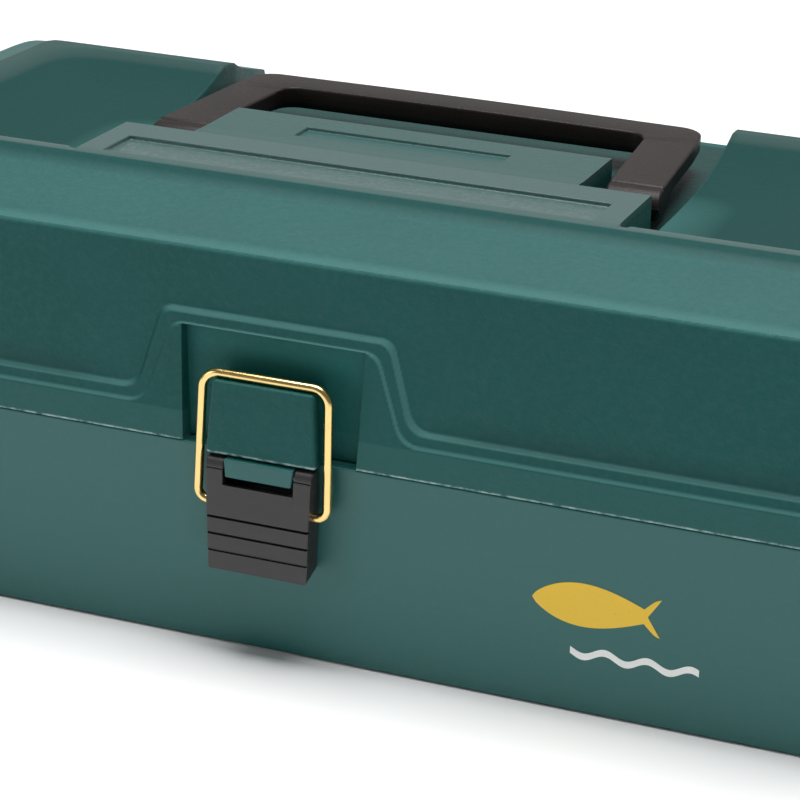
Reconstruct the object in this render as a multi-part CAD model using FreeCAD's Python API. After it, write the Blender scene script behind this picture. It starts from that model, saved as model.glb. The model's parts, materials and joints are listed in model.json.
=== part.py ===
# Fishing tackle box: moulded base and lid, carrying handle, wire-bail latch, and a lift-out style
# tray that rises on parallel links as the lid opens.  Units are millimetres.
# Frame: +X along the box, -Y towards the latch, +Z up, origin at the middle of the base's underside.
import FreeCAD, Part
import math
import os

V = FreeCAD.Vector

# ---- driving dimensions of the case ----
wall = 2.5                 # moulded wall of base and lid
bottom_half = (170.2, 94.4)    # half length and half depth of the base's underside
rim_half = (175.0, 99.2)       # the same at the parting line
parting_z = 59.5
corner = 16.0              # plan radius of the case's corners
part_gap = 0.3             # lid's edge stands this much above the base's rim
tongue_height = 3.0        # upstanding lip on the base that the lid closes over
tongue_gap = 0.5

# ---- lid ----
ledge_z = (68.0, 71.2)     # two small ledges above the skirt
ledge_step = 0.8
shoulder_z = 113.8         # where the walls turn into the bevel
shoulder_half = (172.2, 96.4)
top_half = (148.0, 60.2)   # flat top inside the bevel
top_mid_y = 3.8
top_lip_z = 121.9
plateau_z = 123.2

pad_half = (39.2, 32.4)    # raised frame round the latch recess: half width at bottom and top
pad_top_z = 95.6
recess_half = (24.9, 26.2)
recess_top_z = 92.5
recess_floor_y = -93.3
catch_half = (15.5, 14.0)
catch_front_y = -105.2
catch_top_z = 80.5

well_half = 84.0           # handle well across the top, open at the back
well_front_y = 12.5
well_floor_z = 108.6
channel_inner, channel_outer = 59.5, 82.0   # where the handle's arms turn
channel_front_y = -21.3
scoop_inner_x, scoop_floor_z = 80.2, 114.0      # hollows at both ends of the top
scoop_floor_far, scoop_floor_back = 126.0, 20.0
scoop_top_far, scoop_top_back = 144.0, 58.5
scoop_front_y = -52.5

# ---- handle ----
handle_pivot = (-3.0, 115.4)       # y and z
hub_radius = 5.0
handle_outer, handle_inner = 78.4, 62.3
grip_front_y, grip_back_y = 50.0, 64.0
grip_bottom_z, grip_top_z = 115.0, 121.1
handle_pin_radius = 2.5

# ---- latch ----
latch_pivot = (-103.6, 56.5)       # y and z
knuckle_radius = 2.8
latch_pin_radius = 1.2
lug_half = 10.0
lug_z = (53.7, 59.2)
lever_half = (15.2, 14.3)
lever_bottom_z = 26.6
lever_slot_z = 52.0
wire_radius = 1.15
bail_pivot = (-102.6, 45.5)        # y and z
bail_half = (18.7, 17.9)
bail_corner = 3.2

# ---- hinge ----
hinge = (104.0, 59.5)              # y and z
hinge_radius = 4.0
hinge_pin_radius = 1.5
hinge_x = 105.0
lid_knuckle, base_knuckle, knuckle_gap = 16.0, 10.0, 0.4

# ---- tray on its parallel links ----
tray_half_x, tray_y, tray_z = 163.0, (-89.5, 48.0), (36.0, 62.0)
tray_wall, tray_corner, tray_draft = 2.0, 8.0, 1.5
middle_wall_y = -22.0
lid_link = (-85.0, 8.0)            # from the hinge to the tray's pivot on the lid
tray_link = (-45.0, -25.0)         # from that pivot to the arm's pivot on the tray
arm_x, arm_thick, arm_half = 165.2, 2.0, 6.0
rivet_radius, rivet_head, rivet_shoulder = 2.0, 4.0, 4.0
divider_thick, divider_clear, guide = 1.5, 0.15, 1.3
front_dividers = (-95.0, -30.0, 35.0)
back_dividers = (-60.0, 60.0)

run_fit = 0.06             # radial clearance of every turning pin


def box(x0, x1, y0, y1, z0, z1):
    return Part.makeBox(x1 - x0, y1 - y0, z1 - z0, V(x0, y0, z0))


def rod(radius, x0, x1, y, z):
    """Cylinder along X from x0 to x1."""
    return Part.makeCylinder(radius, abs(x1 - x0), V(min(x0, x1), y, z), V(1, 0, 0))


def ring(half, radius, z, mid_x=0.0, mid_y=0.0):
    """Wire of a rounded rectangle at height z."""
    cx, cy = half[0] - radius, half[1] - radius
    arcs = []
    for sx, sy, start in ((1, 1, 0), (-1, 1, 90), (-1, -1, 180), (1, -1, 270)):
        turn = [math.radians(start + a) for a in (0, 45, 90)]
        arcs.append([V(mid_x + sx * cx + radius * math.cos(a), mid_y + sy * cy + radius * math.sin(a), z)
                     for a in turn])
    edges = []
    for arc, following in zip(arcs, arcs[1:] + arcs[:1]):
        edges.append(Part.Arc(*arc).toShape())
        edges.append(Part.makeLine(arc[2], following[0]))
    return Part.Wire(edges)


def loft(*rings):
    return Part.makeLoft(list(rings), True, True)


def grown(half, by):
    return (half[0] + by, half[1] + by)


def prism_y(points, y0, y1):
    """Solid with an XZ outline, between two depths."""
    wire = Part.makePolygon([V(x, y0, z) for x, z in points + points[:1]])
    return Part.Face(wire).extrude(V(0, y1 - y0, 0))


def prism_x(points, x0, x1):
    """Solid with a YZ outline, between two positions along X."""
    wire = Part.makePolygon([V(x0, y, z) for y, z in points + points[:1]])
    return Part.Face(wire).extrude(V(x1 - x0, 0, 0))


def trapezoid(half, z0, z1):
    return [(-half[0], z0), (half[0], z0), (half[1], z1), (-half[1], z1)]


def fused(first, *others):
    return first.multiFuse(list(others)).removeSplitter()


def wall_at(z):
    """Half length and half depth of the base's outer wall at height z."""
    t = z / parting_z
    return tuple(b + (r - b) * t for b, r in zip(bottom_half, rim_half))


lid_pivot = tuple(h + l for h, l in zip(hinge, lid_link))
arm_top = tuple(p + l for p, l in zip(lid_pivot, tray_link))
arm_foot = tuple(h + l for h, l in zip(hinge, tray_link))


def knuckles(above):
    """Hinge knuckles with their webs, on the lid (above) or on the base."""
    y, z = hinge
    pieces = []
    for side in (-1, 1):
        if above:
            spans = [(side * hinge_x - lid_knuckle / 2, side * hinge_x + lid_knuckle / 2)]
        else:
            near = lid_knuckle / 2 + knuckle_gap
            far = near + base_knuckle
            spans = [(side * hinge_x + near, side * hinge_x + far),
                     (side * hinge_x - far, side * hinge_x - near)]
        up = 1 if above else -1
        for x0, x1 in spans:
            barrel = rod(hinge_radius, x0, x1, y, z)
            inner = rim_half[1] - 1.4
            web = prism_x([(y, z), (y + hinge_radius, z), (inner, z + up * 9.0),
                           (inner, z + up * 0.5), (y - 2.0, z + up * 0.5)], x0, x1)
            pieces.append(barrel.fuse(web))
    return pieces


def hinge_holes(radius):
    length = lid_knuckle / 2 + knuckle_gap + base_knuckle + 1.0
    return [rod(radius, s * hinge_x - length, s * hinge_x + length, *hinge) for s in (-1, 1)]


def make_base():
    outer = loft(ring(bottom_half, corner - 2, 0.0), ring(rim_half, corner, parting_z))
    floor_half = tuple(w - wall for w in wall_at(wall))
    inner = loft(ring(floor_half, corner - 4.5, wall),
                 ring(grown(rim_half, -wall), corner - wall, parting_z))
    tongue_half = grown(rim_half, -wall - tongue_gap)
    tongue = loft(ring(tongue_half, corner - 3, parting_z - 6),
                  ring(tongue_half, corner - 3, parting_z + tongue_height))
    hollow_half = grown(tongue_half, -1.6)
    hollow = loft(ring(hollow_half, corner - 4.6, parting_z - 6),
                  ring(hollow_half, corner - 4.6, parting_z + tongue_height))
    back_gap = box(-140, 140, 80, 110, parting_z, parting_z + 10)
    latch_gap = box(-pad_half[0], pad_half[0], -110, -80, parting_z, parting_z + 10)
    above_rim = box(-200, 200, -120, 90, parting_z, 70)
    collar = tongue.cut(hollow).common(outer.fuse(above_rim)).cut(back_gap.fuse(latch_gap))
    lug = box(-lug_half, lug_half, latch_pivot[0] - knuckle_radius, -96.6, *lug_z)
    sill_half = recess_half[1] + 1.5
    sill = box(-sill_half, sill_half, -rim_half[1] + 1.5, recess_floor_y + wall, parting_z - 4, parting_z)
    body = fused(outer.cut(inner), collar, lug, sill, *knuckles(above=False))
    for cutter in hinge_holes(hinge_pin_radius):
        body = body.cut(cutter)
    body = body.cut(rod(latch_pin_radius, -lug_half - 1, lug_half + 1, *latch_pivot))
    for side in (-1, 1):
        body = body.cut(rod(rivet_radius, side * 160, side * 180, *arm_foot))
    return body


def top_pockets(offset):
    """Hollows of the lid's top; a positive offset gives the same hollows with a wall round them."""
    high = plateau_z + 5
    low = well_floor_z - offset
    pockets = [box(-well_half - offset, well_half + offset, well_front_y - offset, 112, low, high)]
    for side in (-1, 1):
        x0, x1 = sorted((side * (channel_inner - offset), side * (channel_outer + offset)))
        pockets.append(box(x0, x1, channel_front_y - offset, well_front_y + 8, low, high))
        levels = ((scoop_floor_z - offset, scoop_floor_far, scoop_floor_back, 5.0),
                  (plateau_z + 1, scoop_top_far, scoop_top_back, 12.0))
        rings = []
        for z, far, back, radius in levels:
            half = ((far - scoop_inner_x) / 2 + offset, (back - scoop_front_y) / 2 + offset)
            mid = (side * (far + scoop_inner_x) / 2, (back + scoop_front_y) / 2)
            rings.append(ring(half, radius, z, *mid))
        pockets.append(loft(*rings))
    return pockets


def make_lid():
    s = ledge_step
    skirt = grown(rim_half, -0.4)
    profile = [(rim_half, parting_z + part_gap), (skirt, ledge_z[0]), (grown(skirt, -s), ledge_z[0] + s),
               (grown(skirt, -s - 0.1), ledge_z[1]), (grown(skirt, -2 * s - 0.1), ledge_z[1] + s),
               (shoulder_half, shoulder_z)]
    outer = loft(*[ring(half, corner, z) for half, z in profile])
    cap = loft(ring(shoulder_half, corner, shoulder_z), ring(top_half, corner - 2, top_lip_z, 0, top_mid_y))
    crown = loft(ring(grown(top_half, -1), corner - 3, top_lip_z, 0, top_mid_y),
                 ring(grown(top_half, -2), corner - 4, plateau_z, 0, top_mid_y))
    pads = [prism_y(trapezoid(grown(pad_half, -d), parting_z + part_gap, pad_top_z - d), y, -94.0)
            for d, y in ((0.0, -97.8), (2.5, -98.7))]
    outer = fused(outer, cap, crown, *pads)

    low, high = grown(rim_half, -wall), grown(shoulder_half, -wall)
    inner_walls = [(low, parting_z - 1), (low, parting_z + 4),
                   (high, ledge_z[1] + 4), (high, shoulder_z - 1.5)]
    inner = loft(*[ring(half, corner - wall, z) for half, z in inner_walls])
    inner_cap = loft(ring(high, corner - wall, shoulder_z - 1.5),
                     ring(grown(top_half, -1), corner - wall, top_lip_z - wall, 0, top_mid_y))
    hollow = inner.fuse(inner_cap)
    recess = trapezoid(recess_half, parting_z - 1, recess_top_z)
    hollow = hollow.cut(prism_y(trapezoid(grown(recess_half, wall), parting_z - 1, recess_top_z + wall),
                                -110, recess_floor_y + wall))
    for pocket in top_pockets(wall):
        hollow = hollow.cut(pocket)
    body = outer.cut(prism_y(recess, -110, recess_floor_y))
    for pocket in top_pockets(0.0):
        body = body.cut(pocket)
    body = body.cut(hollow)

    panels = [box(-71.4, 71.4, -51.0, -34.9, plateau_z - 0.6, plateau_z + 1),
              box(-31.4, 31.4, -12.0, 0.9, plateau_z - 0.6, plateau_z + 1)]
    catch = trapezoid(catch_half, parting_z + part_gap, catch_top_z)
    catch = prism_y(catch, catch_front_y, recess_floor_y + 1)
    bosses = [rod(hub_radius, s * 50, s * (handle_inner - part_gap), *handle_pivot) for s in (-1, 1)]
    body = fused(body, catch, *bosses, *knuckles(above=True))
    for cutter in panels + hinge_holes(hinge_pin_radius + run_fit):
        body = body.cut(cutter)
    for side in (-1, 1):
        body = body.cut(rod(handle_pin_radius, side * 49, side * 63, *handle_pivot))
        body = body.cut(rod(rivet_radius, side * 165, side * 180, *lid_pivot))
    return body


def make_handle():
    y, z = handle_pivot
    front = y - hub_radius
    outline = [V(handle_outer, front, 0), V(76.5, grip_back_y - 13, 0), V(74.0, grip_back_y - 4, 0),
               V(64.5, grip_back_y, 0)]
    inner = [V(61.5, grip_front_y - 5, 0), V(60.3, grip_front_y - 1.4, 0), V(56.5, grip_front_y, 0)]

    def flipped(points):
        return [V(-p.x, p.y, p.z) for p in reversed(points)]

    def side(points):
        return [Part.makeLine(points[0], points[1]), Part.Arc(*points[1:]).toShape()]

    left_outer = flipped(outline)
    left_inner = flipped(inner)
    edges = side(outline) + [Part.makeLine(outline[-1], left_outer[0])]
    edges += [Part.Arc(*left_outer[:3]).toShape(), Part.makeLine(left_outer[2], left_outer[3])]
    edges.append(Part.makeLine(left_outer[3], V(-handle_inner, front, 0)))
    edges += [Part.makeLine(V(-handle_inner, front, 0), left_inner[2])]
    edges += [Part.Arc(*reversed(left_inner)).toShape()]
    edges += [Part.makeLine(left_inner[0], inner[2]), Part.Arc(*reversed(inner)).toShape()]
    edges += [Part.makeLine(inner[0], V(handle_inner, front, 0))]
    edges += [Part.makeLine(V(handle_inner, front, 0), outline[0])]
    plan = Part.Face(Part.Wire(edges)).extrude(V(0, 0, 40))
    plan.translate(V(0, 0, 100))
    profile = prism_x([(y, z + hub_radius), (y + 8, z + hub_radius), (grip_back_y + 1, grip_top_z),
                       (grip_back_y + 1, grip_bottom_z), (16.0, grip_bottom_z), (6.0, z - hub_radius + 1.2),
                       (y, z - hub_radius)], -90, 90)
    body = plan.common(profile.fuse(rod(hub_radius, -90, 90, y, z)))
    for s in (-1, 1):
        body = body.cut(rod(handle_pin_radius + run_fit, s * (handle_inner - 2), s * 74.5, y, z))
    return body.removeSplitter()


def handle_pin(side):
    shaft = rod(handle_pin_radius, side * 50, side * 74, *handle_pivot)
    return shaft.fuse(rod(4.0, side * 48.4, side * 50, *handle_pivot))


def make_lever():
    y, z = latch_pivot
    front = y - knuckle_radius
    back_top, back_bottom = -(wall_at(z)[1] + 0.5), -(wall_at(lever_bottom_z)[1] + 0.6)
    profile = prism_x([(front, z), (front + 0.6, lever_bottom_z), (back_bottom, lever_bottom_z + 2.2),
                       (back_top, lever_slot_z), (y, z - 1.0)], -20, 20)
    plan = prism_y([(-lever_half[1], lever_bottom_z - 1), (lever_half[1], lever_bottom_z - 1),
                    (lever_half[0], z + 5), (-lever_half[0], z + 5)], -115, -90)
    body = profile.fuse(rod(knuckle_radius, -20, 20, y, z)).common(plan)
    slot = lug_half + 0.3
    body = body.cut(box(-slot, slot, -115, -90, lever_slot_z, z + 6))
    hollow = box(-11.8, 11.8, front + 3.2, -90, lever_bottom_z + 3.6, lever_slot_z - 2.0)
    body = body.cut(hollow)
    for groove_z in (32.1, 37.1, 42.1):
        body = body.cut(box(-20, 20, front - 1, front + 1.3, groove_z - 0.5, groove_z + 0.5))
    body = body.cut(rod(latch_pin_radius + run_fit, -20, 20, y, z))
    return body.cut(rod(wire_radius + run_fit, -20, 20, *bail_pivot)).removeSplitter()


def bent_rod(corners, bend, radius):
    """Round rod through the corners, each turned with a tangent arc."""
    pieces = []
    start = corners[0]
    for before, here, after in zip(corners, corners[1:], corners[2:]):
        way_in, way_out = (here - before).normalize(), (after - here).normalize()
        turn = way_in.getAngle(way_out)
        reach = bend * math.tan(turn / 2)
        arc_start, arc_end = here - way_in * reach, here + way_out * reach
        pieces.append(Part.makeCylinder(radius, (arc_start - start).Length, start, way_in))
        axis = way_in.cross(way_out).normalize()
        middle = arc_start + axis.cross(way_in) * bend
        section = Part.Face(Part.Wire([Part.makeCircle(radius, arc_start, way_in)]))
        pieces.append(section.revolve(middle, axis, math.degrees(turn)))
        start = arc_end
    end = corners[-1]
    pieces.append(Part.makeCylinder(radius, (end - start).Length, start, (end - start).normalize()))
    return fused(*pieces)


def make_bail():
    y, low = bail_pivot
    high = catch_top_z + 0.4 + wire_radius
    end_x = 12.2
    corners = [V(end_x, y, low), V(bail_half[0], y, low), V(bail_half[1], y, high)]
    corners += [V(-p.x, p.y, p.z) for p in reversed(corners)]
    return bent_rod(corners, bail_corner, wire_radius)


def make_tray():
    mid = sum(tray_y) / 2
    half = (tray_half_x, (tray_y[1] - tray_y[0]) / 2)
    body = loft(ring(grown(half, -tray_draft), tray_corner - 1.5, tray_z[0], 0, mid),
                ring(half, tray_corner, tray_z[1], 0, mid))
    floor_half = grown(half, -tray_draft - tray_wall)
    inner = loft(ring(floor_half, tray_corner - 3.5, tray_z[0] + tray_wall, 0, mid),
                 ring(grown(half, -tray_wall), tray_corner - 2, tray_z[1], 0, mid))
    body = body.cut(inner)
    middle = box(-tray_half_x + 1.2, tray_half_x - 1.2, middle_wall_y - 1, middle_wall_y + 1,
                 tray_z[0] + 1, tray_z[1] - 3)
    additions = [middle]
    for side in (-1, 1):
        x0, x1 = sorted((side * (tray_half_x - tray_wall), side * tray_half_x))
        y, z = lid_pivot
        ear = box(x0, x1, y - 7, y + 7, tray_z[0] + 6, z).fuse(rod(7.0, x0, x1, y, z))
        pad = rod(6.0, side * (tray_half_x - 3.5), side * tray_half_x, *arm_top)
        additions += [ear, pad]
    gap = divider_thick / 2 + divider_clear
    for x in front_dividers + back_dividers:
        row = (tray_y[0], middle_wall_y) if x in front_dividers else (middle_wall_y, tray_y[1])
        wall_in = tray_wall if x in front_dividers else 1.0
        other = 1.0 if x in front_dividers else tray_wall
        ends = ((row[0] + wall_in, 1), (row[1] - other, -1))
        for y, inward in ends:
            for s in (-1, 1):
                x0, x1 = sorted((x + s * gap, x + s * (gap + guide)))
                y0, y1 = sorted((y - inward * 1.2, y + inward * guide))
                additions.append(box(x0, x1, y0, y1, tray_z[0] + 1, tray_z[1] - 4))
    body = fused(body, *additions)
    for side in (-1, 1):
        body = body.cut(rod(rivet_radius + run_fit, side * 155, side * 166, *lid_pivot))
        body = body.cut(rod(rivet_radius, side * 155, side * 166, *arm_top))
    return body


def make_divider(x):
    front = x in front_dividers
    drafted = tray_wall + tray_draft + 0.15
    if front:
        row = (tray_y[0] + drafted, middle_wall_y - 1.15)
    else:
        row = (middle_wall_y + 1.15, tray_y[1] - drafted)
    z0, z1 = tray_z[0] + tray_wall + 0.05, tray_z[1] - 5
    plate = box(x - divider_thick / 2, x + divider_thick / 2, row[0], row[1], z0, z1)
    across = [e for e in plate.Edges if e.BoundBox.XLength > 1]
    edges = [e for e in across if e.BoundBox.ZMin > z1 - 0.1]
    return plate.makeFillet(2.0, edges)


def make_arm(side):
    x0, x1 = sorted((side * arm_x, side * (arm_x + arm_thick)))
    (y0, z0), (y1, z1) = arm_foot, arm_top
    length = math.hypot(y1 - y0, z1 - z0)
    ny, nz = -(z1 - z0) / length * arm_half, (y1 - y0) / length * arm_half
    bar = prism_x([(y0 + ny, z0 + nz), (y1 + ny, z1 + nz), (y1 - ny, z1 - nz), (y0 - ny, z0 - nz)], x0, x1)
    arm = fused(bar, rod(arm_half, x0, x1, y0, z0), rod(arm_half, x0, x1, y1, z1))
    for y, z in (arm_foot, arm_top):
        arm = arm.cut(rod(rivet_radius + run_fit, x0 - 1, x1 + 1, y, z))
    return arm


def base_rivet(side):
    """Fixed in the base's end wall; the arm turns on it."""
    shaft = rod(rivet_radius, side * (arm_x - 0.3), side * (wall_at(arm_foot[1])[0] - 0.4), *arm_foot)
    head = rod(rivet_head, side * (arm_x - 1.6), side * (arm_x - 0.3), *arm_foot)
    inner_face = wall_at(arm_foot[1] - rivet_shoulder)[0] - wall - 0.05
    shoulder = rod(rivet_shoulder, side * (arm_x + arm_thick + 0.3), side * inner_face, *arm_foot)
    return fused(shaft, head, shoulder)


def tray_rivet(side):
    """Fixed in the tray's end wall; the arm turns on it."""
    shaft = rod(rivet_radius, side * (tray_half_x - 3.5), side * (arm_x + arm_thick + 0.3), *arm_top)
    head = rod(rivet_head, side * (arm_x + arm_thick + 0.3), side * (arm_x + arm_thick + 1.6), *arm_top)
    shoulder = rod(rivet_shoulder, side * (tray_half_x + 0.02), side * (arm_x - 0.3), *arm_top)
    return fused(shaft, head, shoulder)


def lid_rivet(side):
    """Fixed in the lid's end wall; the tray's ear turns on it."""
    inner_face = shoulder_half[0] - wall
    start = tray_half_x - tray_wall - 0.3
    shaft = rod(rivet_radius, side * start, side * (rim_half[0] - 1.0), *lid_pivot)
    head = rod(rivet_head, side * (start - 1.3), side * start, *lid_pivot)
    shoulder = rod(rivet_shoulder, side * (tray_half_x + 0.3), side * (inner_face + 0.3), *lid_pivot)
    return fused(shaft, head, shoulder)


def hinge_pin(side):
    length = lid_knuckle / 2 + knuckle_gap + base_knuckle
    shaft = rod(hinge_pin_radius, side * hinge_x - length, side * hinge_x + length, *hinge)
    head = rod(2.4, side * (hinge_x + length), side * (hinge_x + length + 1.0), *hinge)
    return shaft.fuse(head)


def make_latch_pin():
    return rod(latch_pin_radius, -lever_half[0] + 0.3, lever_half[0] - 0.3, *latch_pivot)


def write(name, shape):
    solids = shape.Solids
    print(f"{name:22s} solids {len(solids)} valid {shape.isValid()} volume {shape.Volume / 1000:8.2f} cm3")
    shape.exportStep(f"parts/{name}.step")


def main():
    os.makedirs("parts", exist_ok=True)
    write("base_shell", make_base())
    write("lid_shell", make_lid())
    write("carry_handle", make_handle())
    write("latch_lever", make_lever())
    write("latch_bail", make_bail())
    write("latch_pin", make_latch_pin())
    write("tray", make_tray())
    for number, x in enumerate(sorted(front_dividers + back_dividers), 1):
        write(f"tray_divider_{number}", make_divider(x))
    for side, word in ((-1, "left"), (1, "right")):
        write(f"handle_pin_{word}", handle_pin(side))
        write(f"hinge_pin_{word}", hinge_pin(side))
        write(f"link_arm_{word}", make_arm(side))
        write(f"base_rivet_{word}", base_rivet(side))
        write(f"tray_rivet_{word}", tray_rivet(side))
        write(f"lid_rivet_{word}", lid_rivet(side))


main()
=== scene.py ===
import json
import math
import bpy
import numpy as np
from mathutils import Matrix, Vector


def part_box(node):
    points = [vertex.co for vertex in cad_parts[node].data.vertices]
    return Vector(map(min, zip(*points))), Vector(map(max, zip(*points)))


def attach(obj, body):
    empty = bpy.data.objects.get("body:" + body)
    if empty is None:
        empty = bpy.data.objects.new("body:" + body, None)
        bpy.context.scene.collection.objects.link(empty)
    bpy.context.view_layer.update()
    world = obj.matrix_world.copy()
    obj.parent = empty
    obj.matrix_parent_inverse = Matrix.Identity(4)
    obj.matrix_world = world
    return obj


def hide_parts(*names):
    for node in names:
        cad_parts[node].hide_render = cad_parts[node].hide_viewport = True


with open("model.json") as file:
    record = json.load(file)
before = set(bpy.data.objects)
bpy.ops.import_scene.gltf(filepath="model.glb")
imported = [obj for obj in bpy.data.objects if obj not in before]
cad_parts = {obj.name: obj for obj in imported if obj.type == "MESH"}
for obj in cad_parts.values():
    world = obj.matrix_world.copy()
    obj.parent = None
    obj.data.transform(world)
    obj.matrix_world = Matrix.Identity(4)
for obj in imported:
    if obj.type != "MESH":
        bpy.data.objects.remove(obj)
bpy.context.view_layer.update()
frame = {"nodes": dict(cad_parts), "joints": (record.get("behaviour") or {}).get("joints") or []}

mm = 0.001
joints = {joint["name"]: joint for joint in frame["joints"]}


def highCorner(node):
    return np.array(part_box(node)[1]) / mm


def pivotOf(joint):
    return np.array(joints[joint]["pos_m"]) / mm


hinge = pivotOf("lid_open")
partingZ = hinge[2]
halfLength = highCorner("base_shell")[0]
crownZ = highCorner("lid_shell")[2]
shoulderZ = 113.8   # where the lid's walls turn into its bevel


def gridFaces(rows, columns, closeRows=False, closeColumns=False):
    # quads of a grid whose points are stored row by row
    r = np.arange(rows if closeRows else rows - 1)
    c = np.arange(columns if closeColumns else columns - 1)
    r, c = np.meshgrid(r, c, indexing="ij")
    nextRow, nextColumn = (r + 1) % rows, (c + 1) % columns
    quads = np.stack([r * columns + c, r * columns + nextColumn,
                      nextRow * columns + nextColumn, nextRow * columns + c], axis=-1)
    return quads.reshape(-1, 4).tolist()


def signedVolume(points, faces):
    # sum of the tetrahedra from the origin to a fan on every face
    total = 0.0
    bySize = {}
    for face in faces:
        bySize.setdefault(len(face), []).append(face)
    for size, group in bySize.items():
        corners = points[np.array(group)]
        for k in range(1, size - 1):
            total += np.einsum("ij,ij->i", corners[:, 0], np.cross(corners[:, k], corners[:, k + 1])).sum()
    return total / 6


def closedShell(points, faces):
    # the same shell with its faces turned outwards
    points = np.asarray(points, float).reshape(-1, 3)
    if signedVolume(points - points.mean(0), faces) < 0:
        faces = [face[::-1] for face in faces]
    return points, faces


def joinShells(shells):
    # several closed shells as one list of points and one of faces
    points, faces, offset = [], [], 0
    for shellPoints, shellFaces in shells:
        points.append(shellPoints)
        faces += [[index + offset for index in face] for face in shellFaces]
        offset += len(shellPoints)
    return np.concatenate(points), faces


def cappedTube(rings):
    # closed rings joined one to the next, with a flat face over the first and over the last
    points = np.array(rings)
    rows, count = points.shape[:2]
    faces = gridFaces(rows, count, closeColumns=True)
    faces += [list(range(count))[::-1], [(rows - 1) * count + k for k in range(count)]]
    return closedShell(points, faces)


def makePiece(name, shells, body, material, smooth=True, bevel=0.0, segments=3):
    points, faces = joinShells(shells)
    mesh = bpy.data.meshes.new(name)
    mesh.from_pydata((points * mm).tolist(), [], faces)
    mesh.validate()
    mesh.materials.append(material)
    mesh.shade_smooth() if smooth else mesh.shade_flat()
    piece = bpy.data.objects.new(name, mesh)
    bpy.context.scene.collection.objects.link(piece)
    if bevel:
        rounding = piece.modifiers.new("rounding", "BEVEL")
        rounding.width = bevel * mm
        rounding.segments = segments
        rounding.limit_method = "ANGLE"
        rounding.harden_normals = True
    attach(piece, body)
    return piece


def prism(outline, axis, start, end):
    # flat outline carried straight along one axis, closed at both ends
    points = np.zeros((2, len(outline), 3))
    points[:, :, [a for a in range(3) if a != axis]] = outline
    points[0, :, axis], points[1, :, axis] = start, end
    return cappedTube(points)


def arcPoints(centre, radius, startDegrees, endDegrees, count):
    # points round a circle from one angle to another: centre + radius times cosine and sine
    angle = np.radians(np.linspace(startDegrees, endDegrees, count))
    return np.stack([centre[0] + radius * np.cos(angle), centre[1] + radius * np.sin(angle)], axis=1)


def turned(y, z, radius, start, end, rim=0.4):
    # round bar along X: a circle carried along, drawn in by the rim and then to a point's width at each end
    stations = np.array([start, start, start + rim, end - rim, end, end])
    radii = np.array([0.02, 1 - rim / radius, 1, 1, 1 - rim / radius, 0.02]) * radius
    angle = np.linspace(0, 2 * np.pi, 40, endpoint=False)
    points = np.zeros((len(stations), len(angle), 3))
    points[:, :, 0] = stations[:, None]
    points[:, :, 1] = y + radii[:, None] * np.cos(angle)
    points[:, :, 2] = z + radii[:, None] * np.sin(angle)
    return cappedTube(points)


def tube(path, radius, sides=20):
    # circle carried along a path in a plane of constant Y, with domed ends: each ring is the path's point
    # plus radius times (cosine along Y plus sine square to the path)
    path = np.asarray(path, float)
    along = np.gradient(path, axis=0)
    along /= np.linalg.norm(along, axis=1)[:, None]
    across = np.array([0.0, 1.0, 0.0])
    upward = np.cross(along, across)
    angle = np.linspace(0, 2 * np.pi, sides, endpoint=False)
    section = np.cos(angle)[None, :, None] * across + np.sin(angle)[None, :, None] * upward[:, None, :]
    dome = np.radians([85, 60, 30])

    def domeRing(end, outward, angle):
        across = radius * (outward * along[end] * math.sin(angle) + section[end] * math.cos(angle))
        return path[end] + across

    rings = [domeRing(0, -1, a) for a in dome]
    rings += list(path[:, None, :] + section * radius)
    rings += [domeRing(-1, 1, a) for a in dome[::-1]]
    return cappedTube(rings)


def smoothStep(low, high, value):
    # 0 at low, 1 at high and 3t squared minus 2t cubed between
    t = np.clip((value - low) / (high - low), 0, 1)
    return t * t * (3 - 2 * t)


def softMin(a, b, reach):
    # lower of two values; within reach of each other a parabola rounds the corner between them
    h = np.clip(0.5 + 0.5 * (b - a) / reach, 0, 1)
    return b + (a - b) * h - reach * h * (1 - h)


def softMax(a, b, reach):
    # higher of two values, rounded in the same way
    return -softMin(-a, -b, reach)


def insideBand(value, low, high, soft=0.22):
    # 1 between low and high and 0 outside, a smooth step up times a smooth step down
    return smoothStep(low - soft, low + soft, value) * (1 - smoothStep(high - soft, high + soft, value))


def lineStops(low, high, step, edges=(), spread=(0.9, 0.45, 0.22, 0.07)):
    # even stops with closer ones on both sides of every edge
    stops = list(np.linspace(low, high, int(round((high - low) / step)) + 1))
    for edge in edges:
        close = [edge + sign * s for s in spread for sign in (-1, 1)]
        stops = [s for s in stops if abs(s - edge) > spread[0] + 0.15] + [c for c in close if low < c < high]
    stops = np.unique(np.round(stops, 3))
    keep = np.concatenate([[True], np.diff(stops) > 0.05])
    return stops[keep]


class Signal:
    # an output socket; sums and products of signals add Math nodes
    def __init__(self, recipe, socket):
        self.recipe, self.socket = recipe, socket

    def combine(self, operation, first, second):
        return self.recipe.node("ShaderNodeMath", {"operation": operation}, {0: first, 1: second})

    def __add__(self, other):
        return self.combine("ADD", self, other)

    __radd__ = __add__

    def __sub__(self, other):
        return self.combine("SUBTRACT", self, other)

    def __rsub__(self, other):
        return self.combine("SUBTRACT", other, self)

    def __mul__(self, other):
        return self.combine("MULTIPLY", self, other)

    __rmul__ = __mul__


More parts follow.
